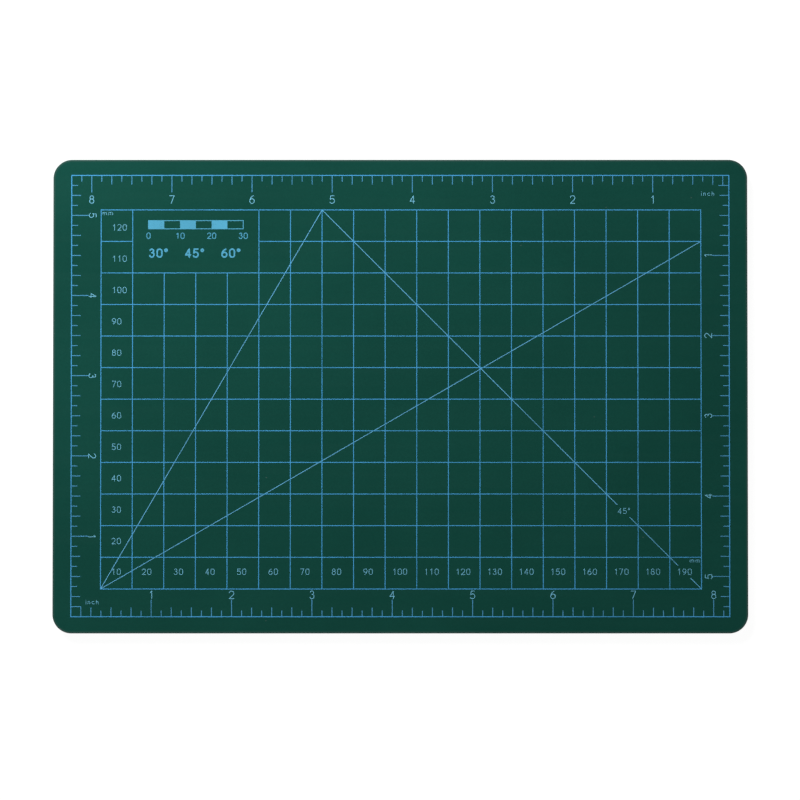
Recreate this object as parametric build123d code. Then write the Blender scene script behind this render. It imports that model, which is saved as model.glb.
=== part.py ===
"""A small self-healing cutting mat: five bonded PVC plies with measuring marks printed on top.

Millimetres. The origin is the centre of the underside, +X runs along the long side,
+Y up the mat as its upright numerals are read, and +Z out of the printed face.
"""

from build123d import *
import os
from functools import lru_cache
from math import atan2, ceil, degrees, floor, hypot, radians, tan

# ---- Outline of the die-cut sheet --------------------------------------------------------
MAT_LENGTH = 220.0
MAT_WIDTH = 150.0
CORNER_RADIUS = 6.0

# ---- Plies, from the table up ------------------------------------------------------------
BOTTOM_SKIN = 0.6
LOWER_CUSHION = 0.45
CORE = 0.9
UPPER_CUSHION = 0.45
TOP_SKIN = 0.6
CUSHION_SETBACK = 0.08      # the soft plies draw back a little from the cut edge
EDGE_ROUND = 0.25           # rim of each skin, softened by the cutting die

# ---- Ink ---------------------------------------------------------------------------------
INK = 0.03                  # thickness of the dried ink
FRAME_LINE = 0.28           # line widths
TICK_LINE = 0.25
BORDER_LINE = 0.25
GRID_LINE = 0.24
GUIDE_LINE = 0.2

GLYPH_WIDTH = 0.6           # width to height of every digit, between the middles of its strokes

# ---- Inch rulers around the edge ---------------------------------------------------------
INCH = 25.4
DIVISIONS = 8               # ticks to the inch
EDGE_MARGIN_X = 5.86        # mat edge to the middle of the frame line
EDGE_MARGIN_Y = 5.15
PRINT_SHIFT_Y = 0.15        # the print sits this much above the middle of the sheet
SHORT_TICK = 1.95           # tick lengths, from the middle of the frame line
MEDIUM_TICK = 2.9
LONG_TICK = 5.4

INCH_DIGIT = 2.6            # height of the inch numerals at the top and bottom
SIDE_DIGIT = 2.4            # and at the sides
INCH_DIGIT_LINE = 0.2
SIDE_DIGIT_GAP = 0.05       # end of a long tick to its numeral
BOTTOM_DIGIT_GAP = 0.2
TOP_DIGIT_GAP = 0.95

# ---- Centimetre grid ---------------------------------------------------------------------
CELL = 10.0
GRID_GAP_X = 1.5            # inch numerals to the middle of the grid's border, at the left
GRID_GAP_Y = 0.55           # and at the bottom

MM_DIGIT = 1.95             # height of the millimetre numerals
MM_DIGIT_LINE = 0.15
MM_DIGIT_PITCH = 1.68
COLUMN_LABEL_INSET = 3.5    # the column numerals start this far inside the grid
COLUMN_LABEL_LIFT = 0.15    # the first sits this much above the middle of its cell,
COLUMN_LABEL_CREEP = 0.07   # and each one further up a little lower in its own
ROW_LABEL_LIFT = 0.45       # the row numerals sit this much above the middle
ROW_LABEL_SHIFT = -0.4

# ---- Guide lines -------------------------------------------------------------------------
STEEP_GUIDE = 60.0          # degrees from the long side
SHALLOW_GUIDE = 30.0
LABEL_CLEARANCE = 1.0       # the 45 degree line stops this far from a label on its way
ANGLE_DIGIT = 1.85
ANGLE_DIGIT_LINE = 0.15
ANGLE_DIGIT_PITCH = 1.6
ANGLE_LABEL_CELL = 3        # the cell that the angle figure is in, counted up the 45 degree line
ANGLE_LABEL_SHIFT = 0.8     # how far it sits from the middle of it, down the line,
ANGLE_LABEL_LIFT = 0.45     # and how far above the line

# ---- Unit marks --------------------------------------------------------------------------
LETTER = 0.95               # height of a small letter
LETTER_LINE = 0.12
LETTER_GAP = 0.55
MM_MARK_INSET = 0.5         # from the grid's border to the side of the mark
MM_MARK_DROP = 1.65         # from the grid line above to its foot
INCH_MARK_INSET = 4.7       # from the frame line to the side of the mark
INCH_MARK_RISE = 3.95       # from the lower frame line to its foot
INCH_MARK_DROP = 6.45       # from the upper frame line to its foot

# ---- Legend block, left free of grid lines -----------------------------------------------
LEGEND_FIRST_COLUMN = 1
LEGEND_COLUMNS = 4
LEGEND_ROWS = 2
BAR_STEP = 5.0              # one box of the scale bar
BAR_MARGIN = 4.0            # room for the bar's numerals at each end
BAR_HEIGHT = 2.6
BAR_LINE = 0.24
BAR_DROP = 3.4              # from the top of the block to the top of the bar
BAR_DIGIT_GAP = 1.2
LEGEND_DIGIT = 2.0
LEGEND_DIGIT_LINE = 0.24
LEGEND_DIGIT_PITCH = 1.6
ANGLE_LIST_DIGIT = 3.0
ANGLE_LIST_LINE = 0.5
ANGLE_LIST_PITCH = 2.45
ANGLE_LIST_STEP = 11.5
ANGLE_LIST_GAP = 3.0        # below the bar's numerals

# ---- Worked out from the sizes above -----------------------------------------------------
SURFACE = BOTTOM_SKIN + LOWER_CUSHION + CORE + UPPER_CUSHION + TOP_SKIN

FRAME_LEFT = EDGE_MARGIN_X - MAT_LENGTH / 2
FRAME_RIGHT = MAT_LENGTH / 2 - EDGE_MARGIN_X
FRAME_BOTTOM = EDGE_MARGIN_Y - MAT_WIDTH / 2 + PRINT_SHIFT_Y
FRAME_TOP = MAT_WIDTH / 2 - EDGE_MARGIN_Y + PRINT_SHIFT_Y

TICK_PITCH = INCH / DIVISIONS
# The last tick of a side stays half a pitch or more clear of the far side of the frame.
TICKS_X = ceil((FRAME_RIGHT - FRAME_LEFT) / TICK_PITCH - 0.5) - 1
TICKS_Y = ceil((FRAME_TOP - FRAME_BOTTOM) / TICK_PITCH - 0.5) - 1
TOP_ZERO = FRAME_LEFT + (TICKS_X + 1) * TICK_PITCH

SIDE_BAND = LONG_TICK + SIDE_DIGIT_GAP + SIDE_DIGIT
BOTTOM_BAND = LONG_TICK + BOTTOM_DIGIT_GAP + INCH_DIGIT
TOP_BAND = LONG_TICK + TOP_DIGIT_GAP + INCH_DIGIT
GRID_LEFT = FRAME_LEFT + SIDE_BAND + GRID_GAP_X
GRID_BOTTOM = FRAME_BOTTOM + BOTTOM_BAND + GRID_GAP_Y
GRID_RIGHT_LIMIT = FRAME_RIGHT - SIDE_BAND - BORDER_LINE
GRID_TOP_LIMIT = FRAME_TOP - TOP_BAND - BORDER_LINE
COLUMNS = floor((GRID_RIGHT_LIMIT - GRID_LEFT) / CELL)
ROWS = floor((GRID_TOP_LIMIT - GRID_BOTTOM) / CELL)
GRID_RIGHT = GRID_LEFT + COLUMNS * CELL
GRID_TOP = GRID_BOTTOM + ROWS * CELL
BAR_BOXES = 2 * floor((LEGEND_COLUMNS * CELL - 2 * BAR_MARGIN) / (2 * BAR_STEP))


# ---- Plies -------------------------------------------------------------------------------
def ply(bottom, thickness, setback=0.0):
    """One sheet of the laminate, its lower face at the given height."""
    outline = RectangleRounded(
        MAT_LENGTH - 2 * setback, MAT_WIDTH - 2 * setback, CORNER_RADIUS - setback
    )
    return Pos(0, 0, bottom) * extrude(outline, thickness)


def skin(bottom, thickness, outer_face):
    """A ply with a softened rim around its outer face (0 the lower, -1 the upper)."""
    sheet = ply(bottom, thickness)
    rim = sheet.faces().sort_by(Axis.Z)[outer_face].edges()
    return fillet(rim, min(EDGE_ROUND, 0.45 * thickness))


def make_plies():
    """The five plies, each resting on the one below."""
    lower_cushion = BOTTOM_SKIN
    core = lower_cushion + LOWER_CUSHION
    upper_cushion = core + CORE
    top_skin = upper_cushion + UPPER_CUSHION
    return {
        "bottom_skin": skin(0, BOTTOM_SKIN, 0),
        "lower_cushion_ply": ply(lower_cushion, LOWER_CUSHION, CUSHION_SETBACK),
        "core_ply": ply(core, CORE),
        "upper_cushion_ply": ply(upper_cushion, UPPER_CUSHION, CUSHION_SETBACK),
        "top_skin": skin(top_skin, TOP_SKIN, -1),
    }


# ---- Printing ----------------------------------------------------------------------------
def inked(sketch):
    """A mark drawn on the XY plane, as a film of ink on the top skin."""
    return extrude(Pos(0, 0, SURFACE) * sketch, INK)


def box_between(left, bottom, right, top):
    """A rectangle given by its sides."""
    return Pos((left + right) / 2, (bottom + top) / 2) * Rectangle(right - left, top - bottom)


def bar_between(start, end, line):
    """A straight bar from one point to another."""
    run_x, run_y = end[0] - start[0], end[1] - start[1]
    middle = Pos((start[0] + end[0]) / 2, (start[1] + end[1]) / 2)
    return middle * Rot(0, 0, degrees(atan2(run_y, run_x))) * Rectangle(hypot(run_x, run_y), line)


def outline_line(left, bottom, right, top, line):
    """A rectangular line, centred on the given sides."""
    half = line / 2
    outer = box_between(left - half, bottom - half, right + half, top + half)
    return outer - box_between(left + half, bottom + half, right - half, top - half)


# ---- Plotted characters ------------------------------------------------------------------
def arc(x, y, radius, start, sweep):
    """Arc about (x, y), from an angle, through a turn that is positive anticlockwise."""
    return CenterArc((x, y), radius, start, sweep)


def digit_strokes(character):
    """Middle lines of a digit's strokes, in a box one unit high."""
    width, bowl = GLYPH_WIDTH, GLYPH_WIDTH / 2
    hook = arc(bowl, 1 - bowl, bowl, 165, -211)
    belly = arc(0.28, 0.312, 0.312, 140, -290)
    closed_bowl = arc(bowl, bowl, bowl, 0, 360)
    stem_reach = 0.46
    stem_radius = (stem_reach**2 + (1 - bowl)**2) / (2 * stem_reach)
    stem_end = degrees(atan2(1 - bowl, stem_reach - stem_radius))
    stem = arc(stem_radius, bowl, stem_radius, 180, stem_end - 180)
    turned = Pos(width, 1) * Rot(0, 0, 180)
    return {
        "0": [[arc(bowl, 1 - bowl, bowl, 0, 180), Line((0, 1 - bowl), (0, bowl)),
               arc(bowl, bowl, bowl, 180, 180), Line((width, bowl), (width, 1 - bowl))]],
        "1": [[Polyline((0.38, 0), (0.38, 1), (0.16, 0.78))]],
        "2": [[hook, Polyline(hook @ 1, (0, 0), (width, 0))]],
        "3": [[arc(bowl, 0.78, 0.22, 160, -250)], [arc(bowl, 0.28, 0.28, 90, -250)]],
        "4": [[Polyline((0.44, 0), (0.44, 1), (0, 0.28))], [Line((0, 0.28), (width, 0.28))]],
        "5": [[Polyline((0.54, 1), (0.1, 1), belly @ 0), belly]],
        "6": [[closed_bowl], [stem]],
        "7": [[Polyline((0, 1), (width, 1), (0.2, 0))]],
        "8": [[arc(bowl, 0.77, 0.23, 0, 360)], [arc(bowl, 0.28, 0.28, 0, 360)]],
        "9": [[turned * closed_bowl], [turned * stem]],
        "°": [[arc(0.14, 0.86, 0.14, 0, 360)]],
    }[character]


def letter_strokes(character):
    """Middle lines of a small letter's strokes, with the body of the letter one unit high."""
    arch = 0.36
    stem = Line((0, 0), (0, 1))
    tall_stem = Line((0, 0), (0, 1.5))
    first_arch = [arc(arch, 1 - arch, arch, 180, -180), Line((2 * arch, 1 - arch), (2 * arch, 0))]
    next_arch = [Pos(2 * arch, 0) * edge for edge in first_arch]
    return {
        "c": [[arc(0.5, 0.5, 0.5, 45, 270)]],
        "h": [[tall_stem], first_arch],
        "i": [[stem], [Line((0, 1.4), (0, 1.5))]],
        "m": [[stem], first_arch, next_arch],
        "n": [[stem], first_arch],
    }[character]


def pen(stroke, factor, line):
    """The area that a round pen of width line covers along a stroke."""
    path = Wire([edge for piece in stroke for edge in piece.edges()]).scale(factor)
    area = Face(path.offset_2d(line / 2))
    if path.is_closed:
        area = area - Face(path.offset_2d(-line / 2))
    return area


@lru_cache(maxsize=None)
def glyph(character, height, line):
    """A character in ink, standing on the X axis with its left side on the Y axis."""
    strokes = letter_strokes(character) if character.isalpha() else digit_strokes(character)
    areas = [pen(stroke, height - line, line) for stroke in strokes]
    return inked(Pos(line / 2, line / 2) * (Sketch() + areas))


def digits(text, height, line, pitch):
    """Digits spaced evenly, from the origin to the right."""
    return [Pos(place * pitch, 0) * glyph(character, height, line)
            for place, character in enumerate(text)]


def digits_width(text, height, line, pitch):
    """Width of a run of digits."""
    return (len(text) - 1) * pitch + GLYPH_WIDTH * (height - line) + line


def centred_digits(text, height, line, pitch):
    """Digits spaced evenly about the origin."""
    back = Pos(-digits_width(text, height, line, pitch) / 2, -height / 2)
    return [back * digit for digit in digits(text, height, line, pitch)]


def word(text, height, line, gap):
    """Small letters set side by side, from the origin to the right, and the word's length."""
    letters, reach = [], 0.0
    for character in text:
        letter = glyph(character, height, line)
        box = letter.bounding_box()
        letters.append(Pos(reach - box.min.X, 0) * letter)
        reach += box.size.X + gap
    return letters, reach - gap


# ---- Inch rulers -------------------------------------------------------------------------
def tick_length(index):
    """Whole inches are longest, quarters next. The first eighth is drawn as a quarter."""
    if index % DIVISIONS == 0:
        return LONG_TICK
    if index % 2 == 0 or index == 1:
        return MEDIUM_TICK
    return SHORT_TICK


class Ruler:
    """Ticks and numerals along one side of the frame.

    The ruler is drawn with X along it and Y into the mat, and then turned to its side.
    It counts from its zero towards +X or -X, as sense says.
    """

    def __init__(self, zero, angle, sense, ticks, digit_gap, digit, digits_turned=False):
        self.place = Pos(*zero) * Rot(0, 0, angle)
        self.sense = sense
        self.ticks = ticks
        self.digit_gap = digit_gap
        self.digit = digit
        self.turn = Rot(0, 0, 180 if digits_turned else 0)

    def tick_marks(self):
        """All ticks, from the inner side of the frame line inwards."""
        marks = []
        for index in range(1, self.ticks + 1):
            along = self.sense * index * TICK_PITCH
            half = TICK_LINE / 2
            tick = box_between(along - half, FRAME_LINE / 2, along + half, tick_length(index))
            marks.append(inked(self.place * tick))
        return Compound(marks)

    def numerals(self):
        """A numeral beyond the end of each whole-inch tick."""
        middle = LONG_TICK + self.digit_gap + self.digit / 2
        marks = []
        for inch in range(1, self.ticks // DIVISIONS + 1):
            spot = self.place * Pos(self.sense * inch * INCH, middle) * self.turn
            marks += [spot * digit
                      for digit in centred_digits(str(inch), self.digit, INCH_DIGIT_LINE, self.digit)]
        return Compound(marks)


def make_rulers():
    """The frame line and the four rulers that start at it."""
    bottom = Ruler((FRAME_LEFT, FRAME_BOTTOM), 0, 1, TICKS_X, BOTTOM_DIGIT_GAP, INCH_DIGIT)
    top = Ruler((TOP_ZERO, FRAME_TOP), 180, 1, TICKS_X, TOP_DIGIT_GAP, INCH_DIGIT,
                digits_turned=True)
    left = Ruler((FRAME_LEFT, FRAME_BOTTOM), -90, -1, TICKS_Y, SIDE_DIGIT_GAP, SIDE_DIGIT)
    right = Ruler((FRAME_RIGHT, FRAME_TOP), 90, -1, TICKS_Y, SIDE_DIGIT_GAP, SIDE_DIGIT)
    bottom_ticks, top_ticks = bottom.tick_marks(), top.tick_marks()
    frame = outline_line(FRAME_LEFT, FRAME_BOTTOM, FRAME_RIGHT, FRAME_TOP, FRAME_LINE)
    return {
        "inch_frame_line": inked(frame),
        "bottom_ruler_ticks": bottom_ticks,
        "top_ruler_ticks": top_ticks,
        "left_ruler_ticks": left.tick_marks() - bottom_ticks,
        "right_ruler_ticks": right.tick_marks() - top_ticks,
        "bottom_ruler_numerals": bottom.numerals(),
        "top_ruler_numerals": top.numerals(),
        "left_ruler_numerals": left.numerals(),
        "right_ruler_numerals": right.numerals(),
    }


# ---- Centimetre grid ---------------------------------------------------------------------
def column(index):
    """X of a grid line."""
    return GRID_LEFT + index * CELL


def row(index):
    """Y of a grid line."""
    return GRID_BOTTOM + index * CELL


def inside_border():
    """The area within the grid's border line."""
    half = BORDER_LINE / 2
    return box_between(GRID_LEFT + half, GRID_BOTTOM + half, GRID_RIGHT - half, GRID_TOP - half)


def legend_area():
    """The cells that carry the legend, up to the lines around them."""
    half = GRID_LINE / 2
    last = LEGEND_FIRST_COLUMN + LEGEND_COLUMNS
    return box_between(
        column(LEGEND_FIRST_COLUMN) + half, row(ROWS - LEGEND_ROWS) + half, column(last) - half, GRID_TOP
    )


def grid_net():
    """All centimetre lines within the border, left out where the legend is."""
    uprights = [bar_between((column(i), GRID_BOTTOM), (column(i), GRID_TOP), GRID_LINE)
                for i in range(1, COLUMNS)]
    levels = [bar_between((GRID_LEFT, row(j)), (GRID_RIGHT, row(j)), GRID_LINE)
              for j in range(1, ROWS)]
    return ((Sketch() + uprights + levels) & inside_border()) - legend_area()


def column_numerals():
    """Millimetres counted up the first column, from the second cell."""
    marks = []
    for j in range(2, ROWS + 1):
        lift = COLUMN_LABEL_LIFT - (j - 2) * COLUMN_LABEL_CREEP
        low = row(j) - CELL / 2 + lift - MM_DIGIT / 2
        place = Pos(GRID_LEFT + COLUMN_LABEL_INSET, low)
        marks += [place * digit
                  for digit in digits(str(round(j * CELL)), MM_DIGIT, MM_DIGIT_LINE, MM_DIGIT_PITCH)]
    return Compound(marks)


def row_label_centre(index):
    """Middle of the numerals in one cell of the bottom row."""
    return column(index) - CELL / 2 + ROW_LABEL_SHIFT, GRID_BOTTOM + CELL / 2 + ROW_LABEL_LIFT


def row_numerals():
    """Millimetres counted along the bottom row. The first starts in line with the column's."""
    marks = []
    for i in range(1, COLUMNS + 1):
        text = str(round(i * CELL))
        x, y = row_label_centre(i)
        if i == 1:
            x = (GRID_LEFT + COLUMN_LABEL_INSET
                 + digits_width(text, MM_DIGIT, MM_DIGIT_LINE, MM_DIGIT_PITCH) / 2)
        marks += [Pos(x, y) * digit
                  for digit in centred_digits(text, MM_DIGIT, MM_DIGIT_LINE, MM_DIGIT_PITCH)]
    return Compound(marks)


def make_grid():
    """The centimetre grid and its numerals."""
    border = outline_line(GRID_LEFT, GRID_BOTTOM, GRID_RIGHT, GRID_TOP, BORDER_LINE)
    return {
        "mm_grid_border": inked(border),
        "mm_grid_lines": inked(grid_net()),
        "mm_column_numerals": column_numerals(),
        "mm_row_numerals": row_numerals(),
    }


# ---- Guide lines -------------------------------------------------------------------------
def label_box(centre, text, height, line, pitch):
    """The space that a label keeps free around itself."""
    width = digits_width(text, height, line, pitch) + 2 * LABEL_CLEARANCE
    return Pos(*centre) * Rectangle(width, height + 2 * LABEL_CLEARANCE)


def guide_end(angle):
    """The grid node nearest to where a line from the lower left corner leaves the grid."""
    across = min(COLUMNS, ROWS / tan(radians(angle)))
    up = min(ROWS, COLUMNS * tan(radians(angle)))
    return column(round(across)), row(round(up))


def make_guides():
    """Three guide lines that run from node to node of the grid, cut where other ink is."""
    corner = (column(0), row(0))
    apex = (column(COLUMNS - ROWS), row(ROWS))
    along = (ANGLE_LABEL_CELL - 0.5) * CELL - ANGLE_LABEL_SHIFT
    angle_centre = (GRID_RIGHT - along, GRID_BOTTOM + along + ANGLE_LABEL_LIFT)
    angle_text = "45°"
    angle_style = (ANGLE_DIGIT, ANGLE_DIGIT_LINE, ANGLE_DIGIT_PITCH)
    last_label = str(round(COLUMNS * CELL))
    label_boxes = [
        label_box(angle_centre, angle_text, *angle_style),
        label_box(row_label_centre(COLUMNS), last_label, MM_DIGIT, MM_DIGIT_LINE, MM_DIGIT_PITCH),
    ]
    clear = inside_border() - grid_net()
    steep = bar_between(corner, guide_end(STEEP_GUIDE), GUIDE_LINE) & clear
    shallow = (bar_between(corner, guide_end(SHALLOW_GUIDE), GUIDE_LINE) & clear) - steep
    middle = bar_between(apex, (column(COLUMNS), row(0)), GUIDE_LINE) & clear
    middle = middle - steep - shallow - label_boxes
    mark = [Pos(*angle_centre) * digit for digit in centred_digits(angle_text, *angle_style)]
    return {
        "guide_line_30": inked(shallow),
        "guide_line_45": inked(middle),
        "guide_line_60": inked(steep),
        "guide_angle_mark": Compound(mark),
    }


# ---- Unit marks --------------------------------------------------------------------------
def make_unit_marks():
    """The unit of each ruler, at the corner where it starts and at the corner across."""
    letters, length = word("mm", LETTER, LETTER_LINE, LETTER_GAP)
    top_left = Pos(GRID_LEFT + MM_MARK_INSET, GRID_TOP - MM_MARK_DROP)
    bottom_right = Pos(GRID_RIGHT - MM_MARK_INSET - length, row(1) - MM_MARK_DROP)
    mm_marks = [place * letter for place in (top_left, bottom_right) for letter in letters]

    letters, length = word("inch", LETTER, LETTER_LINE, LETTER_GAP)
    bottom_left = Pos(FRAME_LEFT + INCH_MARK_INSET, FRAME_BOTTOM + INCH_MARK_RISE)
    top_right = Pos(FRAME_RIGHT - INCH_MARK_INSET - length, FRAME_TOP - INCH_MARK_DROP)
    inch_marks = [place * letter for place in (bottom_left, top_right) for letter in letters]
    return {"mm_unit_marks": Compound(mm_marks), "inch_unit_marks": Compound(inch_marks)}


# ---- Legend ------------------------------------------------------------------------------
def make_legend():
    """A plain scale bar with its numerals, and the three guide angles."""
    middle = column(LEGEND_FIRST_COLUMN + LEGEND_COLUMNS / 2)
    left = middle - BAR_BOXES * BAR_STEP / 2
    top = GRID_TOP - BAR_DROP
    bottom = top - BAR_HEIGHT
    outline = outline_line(left, bottom, left + BAR_BOXES * BAR_STEP, top, BAR_LINE)
    boxes = [box_between(left + i * BAR_STEP, bottom, left + (i + 1) * BAR_STEP, top)
             for i in range(0, BAR_BOXES, 2)]

    style = (LEGEND_DIGIT, LEGEND_DIGIT_LINE, LEGEND_DIGIT_PITCH)
    low = bottom - BAR_DIGIT_GAP - LEGEND_DIGIT / 2
    marks = []
    for i in range(0, BAR_BOXES + 1, 2):
        place = Pos(left + i * BAR_STEP, low)
        marks += [place * digit for digit in centred_digits(str(round(i * BAR_STEP)), *style)]

    style = (ANGLE_LIST_DIGIT, ANGLE_LIST_LINE, ANGLE_LIST_PITCH)
    low -= LEGEND_DIGIT / 2 + ANGLE_LIST_GAP + ANGLE_LIST_DIGIT / 2
    for i, angle in enumerate((SHALLOW_GUIDE, 45.0, STEEP_GUIDE)):
        place = Pos(middle + (i - 1) * ANGLE_LIST_STEP, low)
        marks += [place * digit for digit in centred_digits(f"{angle:.0f}°", *style)]
    return {
        "legend_scale_bar": inked(outline + boxes),
        "legend_numerals": Compound(marks),
    }


def main():
    """Write one STEP file for each piece."""
    os.makedirs("parts", exist_ok=True)
    pieces = {**make_plies(), **make_rulers(), **make_grid(), **make_guides(),
              **make_unit_marks(), **make_legend()}
    for name, piece in pieces.items():
        export_step(piece, f"parts/{name}.step")


main()
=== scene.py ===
"""A self-healing cutting mat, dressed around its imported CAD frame.

The mat is a laminate of five plies with measuring marks printed on its upper skin. Everything
is in metres, in the frame's own axes: +X along the long side, +Y up the print, +Z out of the
printed face, and the origin under the middle of the sheet.
"""

import logging
from collections.abc import Callable, Mapping, Sequence
from dataclasses import dataclass, field
from enum import Enum
from functools import cache
from math import cos, pi, radians, sin
from typing import Any

import bpy
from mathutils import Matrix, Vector


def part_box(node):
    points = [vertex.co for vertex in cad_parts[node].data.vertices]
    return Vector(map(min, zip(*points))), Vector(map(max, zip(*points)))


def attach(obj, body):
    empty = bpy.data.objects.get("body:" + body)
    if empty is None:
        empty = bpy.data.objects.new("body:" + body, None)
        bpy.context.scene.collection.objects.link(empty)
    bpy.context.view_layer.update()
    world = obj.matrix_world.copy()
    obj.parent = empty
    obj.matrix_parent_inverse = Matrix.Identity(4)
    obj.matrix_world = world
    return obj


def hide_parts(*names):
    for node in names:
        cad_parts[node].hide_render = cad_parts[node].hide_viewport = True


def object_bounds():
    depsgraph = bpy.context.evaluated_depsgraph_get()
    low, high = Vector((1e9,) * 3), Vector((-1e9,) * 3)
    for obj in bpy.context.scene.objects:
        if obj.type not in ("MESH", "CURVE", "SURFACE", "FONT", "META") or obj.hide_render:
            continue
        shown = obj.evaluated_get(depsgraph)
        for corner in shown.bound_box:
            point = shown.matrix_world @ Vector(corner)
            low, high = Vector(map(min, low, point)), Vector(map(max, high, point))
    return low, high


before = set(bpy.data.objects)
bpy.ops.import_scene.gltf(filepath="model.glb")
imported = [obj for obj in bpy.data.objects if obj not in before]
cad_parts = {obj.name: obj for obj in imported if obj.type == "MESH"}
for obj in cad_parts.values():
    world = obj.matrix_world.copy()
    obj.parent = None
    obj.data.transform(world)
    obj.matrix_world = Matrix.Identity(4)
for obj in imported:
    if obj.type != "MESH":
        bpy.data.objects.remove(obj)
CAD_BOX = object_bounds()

log = logging.getLogger("cutting_mat")

MM = 0.001
BODY = "root"

Colour = tuple[float, float, float]
Point = tuple[float, float, float]


class Slot(Enum):
    """Material slots of the record."""

    GREEN_SKIN = "green_skin"
    SOFT_PLY = "soft_ply"
    CORE = "core"
    LINE_INK = "line_ink"
    FIGURE_INK = "figure_ink"


# ---- Node trees --------------------------------------------------------------------------
class SocketKind(Enum):
    """Kinds of named input and output that the trees use."""

    VALUE = "NodeSocketFloat"
    COUNT = "NodeSocketInt"
    VECTOR = "NodeSocketVector"
    MATERIAL = "NodeSocketMaterial"
    GEOMETRY = "NodeSocketGeometry"


class NodeBench:
    """A node tree being built: it adds nodes, joins their sockets and names the tree's own."""

    def __init__(self, tree: bpy.types.NodeTree) -> None:
        """Start on an empty tree.

        Args:
            tree: Tree to build in.
        """
        self.tree = tree
        self._given: bpy.types.Node | None = None

    def add(self, kind: str, inputs: Mapping[str | int, Any] | None = None,
            **settings: Any) -> bpy.types.Node:
        """Add a node, set its options and fill its inputs.

        Args:
            kind: Type name of the node.
            inputs: Input name or number, with the socket or constant that fills it.
            **settings: Options of the node.

        Returns:
            The new node.
        """
        node = self.tree.nodes.new(kind)
        for name, value in settings.items():
            setattr(node, name, value)
        self.fill(node, inputs or {})
        return node

    def fill(self, node: bpy.types.Node, inputs: Mapping[str | int, Any]) -> None:
        """Join a node's inputs to sockets, or set them to constants.

        Args:
            node: Node to fill.
            inputs: Input name or number, with the socket or constant that fills it.
        """
        for key, value in inputs.items():
            if isinstance(value, bpy.types.NodeSocket):
                self.tree.links.new(value, node.inputs[key])
            else:
                node.inputs[key].default_value = value

    def given(self, name: str, kind: SocketKind, default: Any = None) -> bpy.types.NodeSocket:
        """Add a named input to the tree.

        Args:
            name: Name that the input gets.
            kind: Kind of socket.
            default: Value that it starts with.

        Returns:
            The socket inside the tree that carries it.
        """
        item = self.tree.interface.new_socket(name, in_out="INPUT", socket_type=kind.value)
        if default is not None:
            item.default_value = default
        if self._given is None:
            self._given = self.tree.nodes.new("NodeGroupInput")
        return self._given.outputs[name]

    def numbers(self, *names: str, kind: SocketKind = SocketKind.VALUE
                ) -> list[bpy.types.NodeSocket]:
        """Add a named input for each of several numbers of one kind."""
        return [self.given(name, kind) for name in names]

    def give(self, results: Mapping[str, tuple[SocketKind, bpy.types.NodeSocket]]) -> None:
        """Put out the tree's results.

        Args:
            results: Name of each output, with its kind and the socket that feeds it.
        """
        for name, (kind, _) in results.items():
            self.tree.interface.new_socket(name, in_out="OUTPUT", socket_type=kind.value)
        out = self.tree.nodes.new("NodeGroupOutput")
        for name, (_, source) in results.items():
            self.tree.links.new(source, out.inputs[name])

    def _operate(self, kind: str, operation: str, values: Sequence[Any]) -> bpy.types.Node:
        """Add a node whose inputs are filled in order."""
        return self.add(kind, dict(enumerate(values)), operation=operation)

    def sum(self, operation: str, *values: Any, clamp: bool = False) -> bpy.types.NodeSocket:
        """Work out a number.

        Args:
            operation: Operation of the Math node.
            *values: Sockets or constants, in the node's order.
            clamp: Whether to keep the result from 0 to 1.

        Returns:
            The socket with the result.
        """
        node = self._operate("ShaderNodeMath", operation, values)
        node.use_clamp = clamp
        return node.outputs[0]

    def vector(self, operation: str, *values: Any) -> bpy.types.NodeSocket:
        """Work out a vector, or a length.

        Args:
            operation: Operation of the Vector Math node.
            *values: Sockets or constants, in the node's order.

        Returns:
            The socket with the result.
        """
        node = self._operate("ShaderNodeVectorMath", operation, values)
        return node.outputs["Value" if operation in ("LENGTH", "DOT_PRODUCT") else "Vector"]

    def combine(self, x: Any = 0.0, y: Any = 0.0, z: Any = 0.0) -> bpy.types.NodeSocket:
        """Make a vector of three numbers."""
        return self.add("ShaderNodeCombineXYZ", {0: x, 1: y, 2: z}).outputs[0]

    def split(self, vector: bpy.types.NodeSocket) -> list[bpy.types.NodeSocket]:
        """Take a vector apart."""
        return list(self.add("ShaderNodeSeparateXYZ", {0: vector}).outputs)

    def ramp(self, value: Any, low: float, high: float) -> bpy.types.NodeSocket:
        """Spread a number smoothly over 0 to 1.

        Args:
            value: Number to spread.
            low: What becomes 0.
            high: What becomes 1.

        Returns:
            The socket with the result.
        """
        node = self.add("ShaderNodeMapRange", {"Value": value, "From Min": low, "From Max": high},
                        interpolation_type="SMOOTHSTEP")
        return node.outputs["Result"]

    def tint(self, share: Any, under: Any, over: Any) -> bpy.types.NodeSocket:
        """Lay one colour over another.

        Args:
            share: How much of the upper colour shows, from 0 to 1.
            under: Lower colour.
            over: Upper colour.

        Returns:
            The socket with the mixed colour.
        """
        colours = {6: under, 7: over}
        filled = {k: (*v, 1.0) if isinstance(v, tuple) else v for k, v in colours.items()}
        return self.add("ShaderNodeMix", {0: share, **filled}, data_type="RGBA").outputs[2]

    def bump(self, height: Any, depth: float,
             inputs: Mapping[str | int, Any] | None = None) -> bpy.types.NodeSocket:
        """Bend the normal by a height from 0 to 1, where 1 is as deep as depth says."""
        return self.add("ShaderNodeBump", {
            "Height": height, "Distance": depth, "Strength": 1.0, **(inputs or {})}).outputs[0]

    def choose(self, test: Any, otherwise: Any, chosen: Any) -> bpy.types.NodeSocket:
        """Take one of two numbers by a test that is 0 or 1."""
        return self.add("ShaderNodeMix", {0: test, 2: otherwise, 3: chosen}).outputs[0]

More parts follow.
